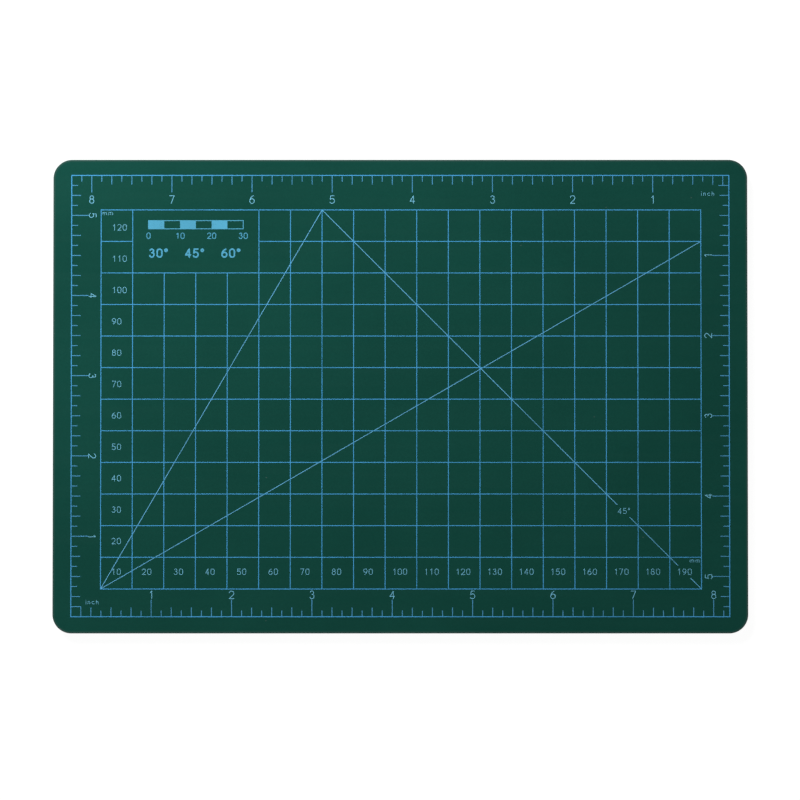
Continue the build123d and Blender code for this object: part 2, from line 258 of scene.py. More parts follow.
    def join(self, *parts: bpy.types.NodeSocket) -> bpy.types.NodeSocket:
        """Join pieces of geometry.

        Args:
            *parts: The pieces' sockets.

        Returns:
            The socket with all of them.
        """
        joined = self.add("GeometryNodeJoinGeometry")
        for part in parts:
            self.fill(joined, {0: part})
        return joined.outputs[0]


def make_grower(name: str, build: Callable[[NodeBench], bpy.types.NodeSocket]
                ) -> bpy.types.GeometryNodeTree:
    """Build a Geometry Nodes tree that ends in Realize Instances and Set Material.

    Args:
        name: Name of the tree.
        build: Function that fills it and returns the geometry.

    Returns:
        The tree.
    """
    tree = bpy.data.node_groups.new(name, "GeometryNodeTree")
    bench = NodeBench(tree)
    real = bench.add("GeometryNodeRealizeInstances", {0: build(bench)}).outputs[0]
    finish = bench.given("Finish", SocketKind.MATERIAL)
    dressed = bench.add("GeometryNodeSetMaterial", {"Geometry": real, "Material": finish})
    bench.give({"Geometry": (SocketKind.GEOMETRY, dressed.outputs[0])})
    return tree


def grow(name: str, tree: bpy.types.GeometryNodeTree,
         sizes: Mapping[str, Any]) -> bpy.types.Object:
    """Run a Geometry Nodes tree and keep what it makes as a plain mesh.

    Args:
        name: Name of the piece.
        tree: Tree to run.
        sizes: Value of each of the tree's named inputs.

    Returns:
        The piece, in the scene, with no modifier left on it.
    """
    start = bpy.data.meshes.new(name + "_start")
    piece = bpy.data.objects.new(name, start)
    bpy.context.scene.collection.objects.link(piece)
    modifier = piece.modifiers.new("grow", "NODES")
    modifier.node_group = tree
    sockets = {item.name: item.identifier for item in tree.interface.items_tree
               if item.item_type == "SOCKET" and item.in_out == "INPUT"}
    for label, value in sizes.items():
        modifier[sockets[label]] = value
    graph = bpy.context.evaluated_depsgraph_get()
    mesh = bpy.data.meshes.new_from_object(piece.evaluated_get(graph), depsgraph=graph)
    piece.modifiers.remove(modifier)
    piece.data = mesh
    mesh.name = name
    bpy.data.meshes.remove(start)
    return piece


# ---- Surface effects that several finishes share -----------------------------------------
TONE_RANGE = (0.3, 0.7)                 # where a grain's soft patches start and end
HAIR_TURNS = ((24.0, 3.1), (-37.0, 7.7), (81.0, 12.9))  # degrees and shift of each set of hairs
STREAK_STRETCH = (0.035, 1.0, 1.0)      # scale of a pattern along each axis, as in the next two
HAIR_STRETCH = (26.0, 1500.0, 1.0)
DRAG_STRETCH = (1.0, 1.0, 0.05)
SPECKS = 260.0                          # to the metre, as are the next two
PINHOLES = 5200.0
THREADS = 4700.0


def place_on_sheet(bench: NodeBench) -> bpy.types.NodeSocket:
    """Read a point's place on the mat, in metres."""
    return bench.add("ShaderNodeTexCoord").outputs["Object"]


def cloud(bench: NodeBench, place: Any, grain: Any, detail: float = 2.0,
          roughness: float = 0.5) -> bpy.types.NodeSocket:
    """Random soft patches.

    Args:
        bench: Tree to build in.
        place: Point at which to read them.
        grain: Patches to the metre.
        detail: How many finer layers are added.
        roughness: How strong the finer layers are.

    Returns:
        The socket with the patches, from 0 to 1.
    """
    node = bench.add("ShaderNodeTexNoise", {
        "Vector": place, "Scale": grain, "Detail": detail, "Roughness": roughness})
    return node.outputs["Fac"]


def build_satin(bench: NodeBench) -> None:
    """Fine matt grain of pressed vinyl, with soft mottling under it.

    Args:
        bench: Tree of the group.
    """
    pebbles = bench.given("Pebbles per Metre", SocketKind.VALUE, 2600.0)
    mottle = bench.given("Mottles per Metre", SocketKind.VALUE, 24.0)
    place = place_on_sheet(bench)
    coarse = cloud(bench, place, pebbles, 3.0, 0.55)
    cells = bench.add("ShaderNodeTexVoronoi", {
        "Vector": place, "Scale": bench.sum("MULTIPLY", pebbles, 0.55)}, feature="SMOOTH_F1")
    height = bench.sum("ADD", bench.sum("MULTIPLY", coarse, 0.6),
                       bench.sum("MULTIPLY", cells.outputs["Distance"], 0.4))
    tone = cloud(bench, place, mottle, 4.0, 0.6)
    bench.give({"Height": (SocketKind.VALUE, height), "Tone": (SocketKind.VALUE, tone)})


def build_streaks(bench: NodeBench) -> None:
    """Long faint streaks that the calender's rollers leave along a sheet.

    Args:
        bench: Tree of the group.
    """
    pitch = bench.given("Streaks per Metre", SocketKind.VALUE, 420.0)
    place = place_on_sheet(bench)
    drawn = bench.vector("MULTIPLY", place, STREAK_STRETCH)
    streak = cloud(bench, drawn, pitch, 3.0, 0.6)
    bench.give({"Streak": (SocketKind.VALUE, bench.ramp(streak, 0.35, 0.75))})


def build_rim(bench: NodeBench) -> None:
    """Distance of a point from the cut edge of the sheet, inwards, in metres.

    Args:
        bench: Tree of the group.
    """
    half_length = bench.given("Half Length", SocketKind.VALUE, 0.11)
    half_width = bench.given("Half Width", SocketKind.VALUE, 0.075)
    corner = bench.given("Corner Radius", SocketKind.VALUE, 0.006)
    x, y, _ = bench.split(place_on_sheet(bench))
    beyond = [bench.sum("SUBTRACT", bench.sum("ABSOLUTE", at),
                        bench.sum("SUBTRACT", half, corner))
              for at, half in ((x, half_length), (y, half_width))]
    out = bench.combine(*(bench.sum("MAXIMUM", past, 0.0) for past in beyond))
    inner = bench.sum("MINIMUM", bench.sum("MAXIMUM", *beyond), 0.0)
    reach = bench.sum("ADD", bench.vector("LENGTH", out), inner)
    bench.give({"Inside": (SocketKind.VALUE, bench.sum("SUBTRACT", corner, reach))})


def build_handling(bench: NodeBench) -> None:
    """Hairline scuffs and specks of dust from handling.

    Args:
        bench: Tree of the group.
    """
    amount = bench.given("Amount", SocketKind.VALUE, 1.0)
    place = place_on_sheet(bench)
    hairs = []
    for turn, seed in HAIR_TURNS:
        turned = bench.add("ShaderNodeMapping", {
            "Vector": place, "Rotation": (0.0, 0.0, radians(turn)), "Location": (seed, seed, 0.0)})
        drawn = bench.vector("MULTIPLY", turned.outputs[0], HAIR_STRETCH)
        hairs.append(bench.ramp(cloud(bench, drawn, 1.0, 1.0), 0.76, 0.84))
    scuffs = bench.sum("MAXIMUM", bench.sum("MAXIMUM", hairs[0], hairs[1]), hairs[2])
    worn = bench.ramp(cloud(bench, place, 19.0, 2.0), 0.5, 0.7)
    scuffs = bench.sum("MULTIPLY", bench.sum("MULTIPLY", scuffs, worn), amount)
    specks = bench.add("ShaderNodeTexVoronoi", {"Vector": place, "Scale": SPECKS})
    chosen = bench.sum("GREATER_THAN", bench.split(specks.outputs["Color"])[0], 0.93)
    size = bench.ramp(specks.outputs["Distance"], 0.055, 0.02)
    dust = bench.sum("MULTIPLY", bench.sum("MULTIPLY", chosen, size), amount)
    bench.give({"Scuffs": (SocketKind.VALUE, scuffs), "Dust": (SocketKind.VALUE, dust)})


def build_cut_wall(bench: NodeBench) -> None:
    """Drag lines down the wall that the cutting die left, and a mask of that wall.

    Args:
        bench: Tree of the group.
    """
    lines = bench.given("Lines per Metre", SocketKind.VALUE, 2400.0)
    place = place_on_sheet(bench)
    normal = bench.add("ShaderNodeNewGeometry").outputs["Normal"]
    upright = bench.sum("ABSOLUTE", bench.split(normal)[2])
    wall = bench.ramp(upright, 0.75, 0.15)
    drawn = bench.vector("MULTIPLY", place, DRAG_STRETCH)
    drag = cloud(bench, drawn, lines, 3.0, 0.65)
    chatter = cloud(bench, place, bench.sum("MULTIPLY", lines, 0.12), 2.0)
    height = bench.sum("ADD", bench.sum("MULTIPLY", drag, 0.75),
                       bench.sum("MULTIPLY", chatter, 0.25))
    bench.give({"Wall": (SocketKind.VALUE, wall),
                "Drag": (SocketKind.VALUE, bench.sum("MULTIPLY", height, wall))})


def build_ink_film(bench: NodeBench) -> None:
    """How well screen ink covers: starved patches, pinholes and the weave of the screen.

    Args:
        bench: Tree of the group.
    """
    starved = bench.given("Starved", SocketKind.VALUE, 0.3)
    patch = bench.given("Patches per Metre", SocketKind.VALUE, 34.0)
    place = place_on_sheet(bench)
    patches = cloud(bench, place, patch, 4.0, 0.6)
    holes = bench.ramp(cloud(bench, place, PINHOLES, 1.0), 0.34, 0.27)
    threads = bench.vector("MULTIPLY", place, (2 * pi * THREADS,) * 3)
    across, along, _ = bench.split(threads)
    weave = bench.sum("MULTIPLY", bench.sum("SINE", across), bench.sum("SINE", along))
    thin = bench.sum("MULTIPLY", bench.ramp(patches, 0.45, 0.75), starved)
    lost = bench.sum("MAXIMUM", thin, bench.sum("MULTIPLY", holes, 0.7))
    bench.give({
        "Coverage": (SocketKind.VALUE, bench.sum("SUBTRACT", 1.0, lost, clamp=True)),
        "Height": (SocketKind.VALUE, bench.sum("MULTIPLY", bench.sum("ADD", weave, 1.0), 0.5)),
    })


class Effect(Enum):
    """Shader groups that the finishes share, and what builds each."""

    SATIN = ("satin_grain", build_satin)
    STREAKS = ("calender_streaks", build_streaks)
    RIM = ("rim_distance", build_rim)
    HANDLING = ("handling_marks", build_handling)
    CUT_WALL = ("cut_wall", build_cut_wall)
    INK_FILM = ("ink_film", build_ink_film)


@cache
def effect_tree(effect: Effect) -> bpy.types.ShaderNodeTree:
    """Build the group of an effect, the first time that it is asked for.

    Args:
        effect: Which group.

    Returns:
        The group.
    """
    name, build = effect.value
    tree = bpy.data.node_groups.new(name, "ShaderNodeTree")
    build(NodeBench(tree))
    return tree


def place_effect(bench: NodeBench, effect: Effect,
                 values: Mapping[str, Any] | None = None) -> Mapping[str, bpy.types.NodeSocket]:
    """Put the group of an effect in a material.

    Args:
        bench: Tree of the material.
        effect: Which group.
        values: The group's inputs for this material.

    Returns:
        The group's outputs by name.
    """
    return bench.add("ShaderNodeGroup", values, node_tree=effect_tree(effect)).outputs


# ---- Finishes ----------------------------------------------------------------------------
GREEN: Colour = (0.0063, 0.0547, 0.0411)


def shade(colour: Colour, share: float) -> Colour:
    """Make a colour lighter or darker by a share of itself."""
    return (colour[0] * share, colour[1] * share, colour[2] * share)


@dataclass(frozen=True)
class Finish:
    """A finish: its material's name, the record's slot that it stands for, and its looks."""

    name: str
    slot: Slot | None
    colour: Colour = (0.8, 0.8, 0.8)
    shades: tuple[float, float] = (0.95, 1.05)
    roughness: float = 0.5
    unevenness: float = 0.06
    specular: float = 0.3

    def start(self) -> tuple[bpy.types.Material, NodeBench, bpy.types.Node]:
        """Begin the material.

        Returns:
            The material, its tree and its surface shader.
        """
        material = bpy.data.materials.new(self.name)
        material.use_nodes = True
        material.node_tree.nodes.clear()
        bench = NodeBench(material.node_tree)
        surface = bench.add("ShaderNodeBsdfPrincipled")
        bench.add("ShaderNodeOutputMaterial", {"Surface": surface.outputs[0]})
        return material, bench, surface

    def mottled(self, bench: NodeBench, tone: Any) -> bpy.types.NodeSocket:
        """Vary the colour between its two shades by a tone from 0 to 1."""
        return bench.tint(tone, *(shade(self.colour, share) for share in self.shades))

    def uneven(self, bench: NodeBench, tone: Any) -> bpy.types.NodeSocket:
        """Vary the roughness about its middle by a tone from 0 to 1."""
        low = self.roughness - self.unevenness / 2
        return bench.sum("MULTIPLY_ADD", tone, self.unevenness, low)

    def make(self) -> bpy.types.Material:
        """Make the material.

        Returns:
            The finished material.
        """
        raise NotImplementedError


@dataclass(frozen=True)
class SkinVinyl(Finish):
    """Matt green vinyl of the wear skins, with a die-cut rim and a painted highlight along it."""

    colour: Colour = GREEN
    roughness: float = 0.38
    unevenness: float = 0.05
    specular: float = 0.1
    pale: Colour = (0.16, 0.27, 0.235)
    # colour of a painted highlight: a pale band laid along the cut edge of the sheet
    rim: Colour = (0.5, 0.42, 0.46)
    dust: Colour = (0.42, 0.45, 0.43)
    handling: float = 0.6
    hollows: tuple[float, float] = (0.62, 0.3)
    hollow_shade: float = 0.4
    hollow_share: float = 0.12
    streak_share: float = 0.006
    rim_highlight_share: float = 0.06
    drag_share: float = 0.1
    scuff_share: float = 0.05
    dust_share: float = 0.22
    scuff_roughness: float = 0.1
    wall_roughness: float = 0.12
    pebbles: float = 2600.0
    grain_depth: float = 0.02 * MM
    drag_depth: float = 0.03 * MM
    # width of the painted highlight along the cut edge
    rim_highlight_band: float = 0.9 * MM

    def make(self) -> bpy.types.Material:
        """Make the material.

        Returns:
            The finished material.
        """
        material, bench, surface = self.start()
        grain = place_effect(bench, Effect.SATIN, {"Pebbles per Metre": self.pebbles})
        streak = place_effect(bench, Effect.STREAKS)["Streak"]
        rim = place_effect(bench, Effect.RIM)["Inside"]
        marks = place_effect(bench, Effect.HANDLING, {"Amount": self.handling})
        wall = place_effect(bench, Effect.CUT_WALL)
        tone = bench.ramp(grain["Tone"], *TONE_RANGE)
        colour = self.mottled(bench, tone)
        for mask, share, over in (
                (bench.ramp(grain["Height"], *self.hollows), self.hollow_share,
                 shade(self.colour, self.hollow_shade)),
                (streak, self.streak_share, self.pale),
                # painted highlight: the colour turns pale in a narrow band along the cut edge
                (bench.ramp(rim, self.rim_highlight_band, 0.0), self.rim_highlight_share, self.rim),
                (wall["Drag"], self.drag_share, self.pale),
                (marks["Scuffs"], self.scuff_share, self.pale),
                (marks["Dust"], self.dust_share, self.dust)):
            colour = bench.tint(bench.sum("MULTIPLY", mask, share), colour, over)
        worn = bench.sum("ADD", bench.sum("MULTIPLY", marks["Scuffs"], self.scuff_roughness),
                         bench.sum("MULTIPLY", wall["Wall"], self.wall_roughness))
        relief = bench.bump(grain["Height"], self.grain_depth)
        bench.fill(surface, {
            "Base Color": colour,
            "Roughness": bench.sum("ADD", self.uneven(bench, tone), worn, clamp=True),
            "Specular IOR Level": self.specular,
            "Normal": bench.bump(wall["Drag"], self.drag_depth, {"Normal": relief}),
        })
        return material


@dataclass(frozen=True)
class InnerPly(Finish):
    """Compounded vinyl of the inner plies, seen only at the die-cut wall."""

    colour: Colour = (0.42, 0.42, 0.395)
    shades: tuple[float, float] = (0.93, 1.04)
    roughness: float = 0.6
    unevenness: float = 0.1
    speck: Colour = (0.21, 0.23, 0.21)
    soiling: tuple[float, float] = (0.5, 0.75)
    speck_share: float = 0.35
    pebbles: float = 4200.0
    mottles: float = 160.0
    drag_lines: float = 3100.0
    drag_depth: float = 0.04 * MM

    def make(self) -> bpy.types.Material:
        """Make the material.

        Returns:
            The finished material.
        """
        material, bench, surface = self.start()
        grain = place_effect(bench, Effect.SATIN, {"Pebbles per Metre": self.pebbles,
                                                   "Mottles per Metre": self.mottles})
        wall = place_effect(bench, Effect.CUT_WALL, {"Lines per Metre": self.drag_lines})
        tone = bench.ramp(grain["Tone"], *TONE_RANGE)
        soiled = bench.sum("MULTIPLY", bench.ramp(wall["Drag"], *self.soiling),
                           self.speck_share)
        bench.fill(surface, {
            "Base Color": bench.tint(soiled, self.mottled(bench, tone), self.speck),
            "Roughness": self.uneven(bench, tone),
            "Specular IOR Level": self.specular,
            "Normal": bench.bump(wall["Drag"], self.drag_depth),
        })
        return material


@dataclass(frozen=True)
class ScreenInk(Finish):
    """Pale blue screen ink, through which the vinyl shows where it lies thin."""

    colour: Colour = (0.162, 0.46, 0.63)
    under: Colour = GREEN
    starved: float = 0.35
    weave_depth: float = 0.004 * MM

    def make(self) -> bpy.types.Material:
        """Make the material.

        Returns:
            The finished material.
        """
        material, bench, surface = self.start()
        film = place_effect(bench, Effect.INK_FILM, {"Starved": self.starved})
        grain = place_effect(bench, Effect.SATIN)
        relief = bench.sum("ADD", bench.sum("MULTIPLY", film["Height"], 0.5),
                           bench.sum("MULTIPLY", grain["Height"], 0.5))
        bench.fill(surface, {
            "Base Color": bench.tint(film["Coverage"], self.under, self.colour),
            "Roughness": self.uneven(bench, grain["Tone"]),
            "Specular IOR Level": self.specular,
            "Normal": bench.bump(relief, self.weave_depth),
        })
        return material


def rays_that_see(bench: NodeBench) -> bpy.types.NodeSocket:
    """Pick the rays that show a surface: straight, mirrored or through something clear.

    Args:
        bench: Tree to build in.

    Returns:
        The socket that is 1 for such a ray.
    """
    rays = bench.add("ShaderNodeLightPath").outputs
    mirrored = bench.sum("MAXIMUM", rays["Is Glossy Ray"], rays["Is Transmission Ray"])
    return bench.sum("MAXIMUM", rays["Is Camera Ray"], mirrored)


@dataclass(frozen=True)
class StudioPaper(Finish):
    """White paper under the mat, which the camera sees as a white ground."""

    shades: tuple[float, float] = (0.99, 1.01)
    roughness: float = 0.9
    specular: float = 0.1
    pebbles: float = 900.0
    ground: float = 1.135
    ground_share: float = 0.85

    def make(self) -> bpy.types.Material:
        """Make the material.

        Returns:
            The finished material.
        """
        material, bench, surface = self.start()
        tooth = place_effect(bench, Effect.SATIN, {"Pebbles per Metre": self.pebbles})
        bench.fill(surface, {
            "Base Color": self.mottled(bench, tooth["Tone"]),
            "Roughness": self.roughness,
            "Specular IOR Level": self.specular,
        })
        glow = bench.add("ShaderNodeEmission", {"Strength": self.ground})
        share = bench.sum("MULTIPLY", rays_that_see(bench), self.ground_share)
        mixed = bench.add("ShaderNodeMixShader", {
            0: share, 1: surface.outputs[0], 2: glow.outputs[0]})
        out = next(n for n in material.node_tree.nodes if n.type == "OUTPUT_MATERIAL")
        bench.fill(out, {"Surface": mixed.outputs[0]})
        return material


class FinishShelf:
    """The finishes of the mat, each made once."""

    def __init__(self) -> None:
        """Make every finish of the mat and the floor."""
        self._finishes: dict[str, Finish] = {f.name: f for f in (
            SkinVinyl("green_skin_vinyl", Slot.GREEN_SKIN),
            InnerPly("cushion_ply_vinyl", Slot.SOFT_PLY, colour=(0.075, 0.15, 0.12),
                     speck=(0.03, 0.07, 0.055)),
            InnerPly("core_ply_vinyl", Slot.CORE),
            ScreenInk("line_ink", Slot.LINE_INK, colour=(0.061, 0.31, 0.59)),
            ScreenInk("tick_ink", Slot.LINE_INK, colour=(0.067, 0.266, 0.465)),
            ScreenInk("guide_ink", Slot.LINE_INK, colour=(0.122, 0.4, 0.64)),
            ScreenInk("figure_ink", Slot.FIGURE_INK, starved=0.2),
            ScreenInk("block_ink", Slot.FIGURE_INK, colour=(0.08, 0.335, 0.5), starved=0.15),
            StudioPaper("studio_paper", None),
        )}
        self._made = {name: finish.make() for name, finish in self._finishes.items()}

    def material(self, name: str) -> bpy.types.Material:
        """The material of a finish."""
        return self._made[name]

    def slot(self, name: str) -> Slot | None:
        """The record's slot of a finish."""
        return self._finishes[name].slot


# ---- Pieces ------------------------------------------------------------------------------
def dress_node(node: str, finish: str, shelf: FinishShelf) -> None:
    """Give a CAD node its finish.

    Args:
        node: Name of the node.
        finish: Name of the finish.
        shelf: The finishes.
    """
    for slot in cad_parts[node].material_slots:
        slot.material = shelf.material(finish)
    log.info("%s keeps its CAD shape, in %s", node, finish)


def set_piece(piece: bpy.types.Object, node: str, finish: str, shelf: FinishShelf) -> None:
    """Put a new piece in the place of the CAD node that it stands for.

    Args:
        piece: The new piece.
        node: Name of the node.
        finish: Name of the finish that it carries.
        shelf: The finishes.
    """
    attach(piece, BODY)
    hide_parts(node)
    shelf.slot(finish).value
    log.info("%s stands for %s, with %d faces", piece.name, node, len(piece.data.polygons))


def outline_point(bench: NodeBench, index: Any, inset: Any, height: Any,
                  sizes: Mapping[str, Any]) -> bpy.types.NodeSocket:
    """Place a vertex on a rounded rectangle, counted round it from the middle of a corner.

    Args:
        bench: Tree to build in.
        index: Number of the vertex round the outline.
        inset: How far inside the outline it lies.
        height: Its height.
        sizes: Half length, half width, corner radius and vertices in a corner.

    Returns:
        The socket with the place.
    """
    steps = sizes["steps"]
    corner = bench.sum("FLOOR", bench.sum("DIVIDE", index, steps))
    along = bench.sum("DIVIDE", bench.sum("MODULO", index, steps),
                      bench.sum("SUBTRACT", steps, 1.0))
    angle = bench.sum("MULTIPLY", bench.sum("ADD", corner, along), pi / 2)
    middle = bench.sum("MULTIPLY", bench.sum("ADD", corner, 0.5), pi / 2)
    radius = bench.sum("SUBTRACT", sizes["corner"], inset)
    spots = []
    for turn, half in (("COSINE", sizes["half_length"]), ("SINE", sizes["half_width"])):
        side = bench.sum("SIGN", bench.sum(turn, middle))
        centre = bench.sum("MULTIPLY", side, bench.sum("SUBTRACT", half, sizes["corner"]))
        spots.append(bench.sum("MULTIPLY_ADD", bench.sum(turn, angle), radius, centre))
    return bench.combine(spots[0], spots[1], height)


WELD = 0.001 * MM       # points nearer than this are one
LEVEL = 0.999           # upright share of the normal of a level face
CREASE = radians(40.0)  # fold that stays sharp


def build_ply(bench: NodeBench) -> bpy.types.NodeSocket:
    """A die-cut sheet: a rounded rectangle whose wall is rounded at its two edges.

    Args:
        bench: Tree to build in.

    Returns:
        The sheet's geometry.
    """
    length, width, corner, bottom, thickness, lower, upper = bench.numbers(
        "Half Length", "Half Width", "Corner Radius", "Bottom", "Thickness", "Lower Round",
        "Upper Round")
    steps, rounds = bench.numbers("Corner Vertices", "Round Steps", kind=SocketKind.COUNT)
    sizes = {"half_length": length, "half_width": width, "corner": corner, "steps": steps}
    top = bench.sum("ADD", bottom, thickness)

    index = bench.add("GeometryNodeInputIndex").outputs[0]
    rows = bench.sum("MULTIPLY_ADD", rounds, 2.0, 2.0)
    around = bench.sum("MULTIPLY", steps, 4.0)
    wall = bench.add("GeometryNodeMeshGrid", {
        "Vertices X": bench.sum("ADD", around, 1.0), "Vertices Y": rows}).outputs[0]
    column = bench.sum("FLOOR", bench.sum("DIVIDE", index, rows))
    row = bench.sum("MODULO", index, rows)
    is_upper = bench.sum("GREATER_THAN", row, rounds)
    step = bench.sum("SUBTRACT", row, bench.sum("MULTIPLY", is_upper,
                                                bench.sum("ADD", rounds, 1.0)))
    angle = bench.sum("MULTIPLY", bench.sum("DIVIDE", step, rounds), pi / 2)
    no_sine = bench.sum("SUBTRACT", 1.0, bench.sum("SINE", angle))
    no_cosine = bench.sum("SUBTRACT", 1.0, bench.sum("COSINE", angle))
    inset = bench.choose(is_upper, bench.sum("MULTIPLY", lower, no_sine),
                         bench.sum("MULTIPLY", upper, no_cosine))
    height = bench.choose(is_upper, bench.sum("MULTIPLY_ADD", lower, no_cosine, bottom),
                          bench.sum("SUBTRACT", top, bench.sum("MULTIPLY", upper, no_sine)))
    wall = bench.add("GeometryNodeSetPosition", {
        0: wall, "Position": outline_point(bench, column, inset, height, sizes)}).outputs[0]

    caps = []
    for depth, level in ((lower, bottom), (upper, top)):
        disc = bench.add("GeometryNodeMeshCircle", {"Vertices": around}, fill_type="NGON")
        caps.append(bench.add("GeometryNodeSetPosition", {
            0: disc.outputs[0], "Position": outline_point(bench, index, depth, level, sizes),
        }).outputs[0])
    caps[0] = bench.add("GeometryNodeFlipFaces", {0: caps[0]}).outputs[0]
    sheet = bench.add("GeometryNodeMergeByDistance", {
        "Geometry": bench.join(wall, *caps), "Distance": WELD}).outputs[0]
    normal = bench.split(bench.add("GeometryNodeInputNormal").outputs[0])
    is_wall = bench.sum("LESS_THAN", bench.sum("ABSOLUTE", normal[2]), LEVEL)
    sheet = bench.add("GeometryNodeSetShadeSmooth", {
        0: sheet, "Shade Smooth": is_wall}, domain="FACE").outputs[0]
    fold = bench.add("GeometryNodeInputMeshEdgeAngle").outputs[0]
    is_crease = bench.sum("GREATER_THAN", fold, CREASE)
    return bench.add("GeometryNodeSetShadeSmooth", {
        0: sheet, "Selection": is_crease, "Shade Smooth": False}, domain="EDGE").outputs[0]


@dataclass
class Laminate:
    """The five bonded plies, each cut by the same die."""

    corner: float = 6.0 * MM
    skin_round: float = 0.25 * MM
    corner_vertices: int = 33
    round_steps: int = 6
    finishes: Mapping[str, str] = field(default_factory=lambda: {
        "bottom_skin": "green_skin_vinyl",
        "lower_cushion_ply": "cushion_ply_vinyl",
        "core_ply": "core_ply_vinyl",
        "upper_cushion_ply": "cushion_ply_vinyl",
        "top_skin": "green_skin_vinyl",
    })

    def build(self, shelf: FinishShelf) -> None:
        """Grow the plies and set each in the place of its CAD node.

        Args:
            shelf: The finishes.
        """
        tree = make_grower("die_cut_ply", build_ply)
        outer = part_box("core_ply")[1]
        for node, finish in self.finishes.items():
            low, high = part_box(node)
            drawn_back = outer.x - high.x
            piece = grow(f"{node}_sheet", tree, {
                "Half Length": high.x,
                "Half Width": high.y,
                "Corner Radius": self.corner - drawn_back,
                "Corner Vertices": self.corner_vertices,
                "Bottom": low.z,
                "Thickness": high.z - low.z,
                "Lower Round": self.skin_round if node == "bottom_skin" else 0.0,
                "Upper Round": self.skin_round if node == "top_skin" else 0.0,
                "Round Steps": self.round_steps,
                "Finish": shelf.material(finish),
            })
            set_piece(piece, node, finish, shelf)


INNER_ROWS = 0.4                        # past the bar's two inner rows of vertices
UPRIGHT_FILM, LEVEL_FILM = 0.96, 0.98   # shares of the film, so that crossed tops don't meet


def build_ink_bar(bench: NodeBench) -> None:
    """A bar of ink one metre each way, its foot centred at the origin, with soft shoulders.

    Args:
        bench: Tree of the group.
    """
    shoulder = bench.given("Shoulder", SocketKind.VALUE, 0.5)
    cube = bench.add("GeometryNodeMeshCube", {
        "Size": (1.0, 1.0, 1.0), "Vertices X": 4, "Vertices Y": 2, "Vertices Z": 2}).outputs[0]
    x, y, z = bench.split(bench.add("GeometryNodeInputPosition").outputs[0])
    is_side = bench.sum("GREATER_THAN", bench.sum("ABSOLUTE", x), INNER_ROWS)
    level = bench.sum("SUBTRACT", 1.0, bench.sum("MULTIPLY", is_side, shoulder))
    raised = bench.sum("MULTIPLY", bench.sum("ADD", z, 0.5), level)
    bar = bench.add("GeometryNodeSetPosition", {
        0: cube, "Position": bench.combine(x, y, raised)}).outputs[0]
    bench.give({"Geometry": (SocketKind.GEOMETRY, bar)})


@cache
def ink_bar() -> bpy.types.GeometryNodeTree:
    """Build the tree of the bar of ink, which the ruled patterns share.

    Returns:
        The tree.
    """
    tree = bpy.data.node_groups.new("ink_bar", "GeometryNodeTree")
    build_ink_bar(NodeBench(tree))
    return tree


def rule(bench: NodeBench, count: Any, middle: Any, size: Any,
         turn: float = 0.0) -> bpy.types.NodeSocket:
    """Repeat the bar of ink.

    Args:
        bench: Tree to build in.
        count: How many bars.
        middle: Place of a bar's foot, by its index.
        size: Its width, length and height, by its index.
        turn: Angle of every bar about Z.

    Returns:
        The bars.
    """
    points = bench.add("GeometryNodePoints", {"Count": count, "Position": middle}).outputs[0]
    bar = bench.add("GeometryNodeGroup", node_tree=ink_bar()).outputs[0]
    return bench.add("GeometryNodeInstanceOnPoints", {
        "Points": points, "Instance": bar, "Scale": size,
        "Rotation": (0.0, 0.0, turn)}).outputs[0]


def build_ticks(bench: NodeBench) -> bpy.types.NodeSocket:
    """Ticks of one ruler: long at whole inches, medium at quarters, short between.

    Args:
        bench: Tree to build in.

    Returns:
        The ticks' geometry.
    """
    count, divisions = bench.numbers("Count", "Divisions", kind=SocketKind.COUNT)
    pitch, sense, short, medium, long, first, line, film, turn = bench.numbers(
        "Pitch", "Sense", "Short", "Medium", "Long", "First", "Line", "Film", "Turn")
    foot = bench.given("Foot", SocketKind.VECTOR)
    number = bench.sum("ADD", bench.add("GeometryNodeInputIndex").outputs[0], 1.0)
    is_odd = bench.sum("MODULO", number, 2.0)
    is_first = bench.sum("LESS_THAN", number, 1.5)
    is_inch = bench.sum("LESS_THAN", bench.sum("MODULO", number, divisions), 0.5)
    usual = bench.choose(is_odd, medium, short)
    length = bench.choose(is_inch, bench.choose(is_first, usual, first), long)
    middle = bench.combine(bench.sum("MULTIPLY", bench.sum("MULTIPLY", number, pitch), sense),
                           bench.sum("MULTIPLY", length, 0.5))
    ticks = rule(bench, count, middle, bench.combine(line, length, film))
    return bench.add("GeometryNodeTransform", {
        0: ticks, "Translation": foot, "Rotation": bench.combine(z=turn)}).outputs[0]


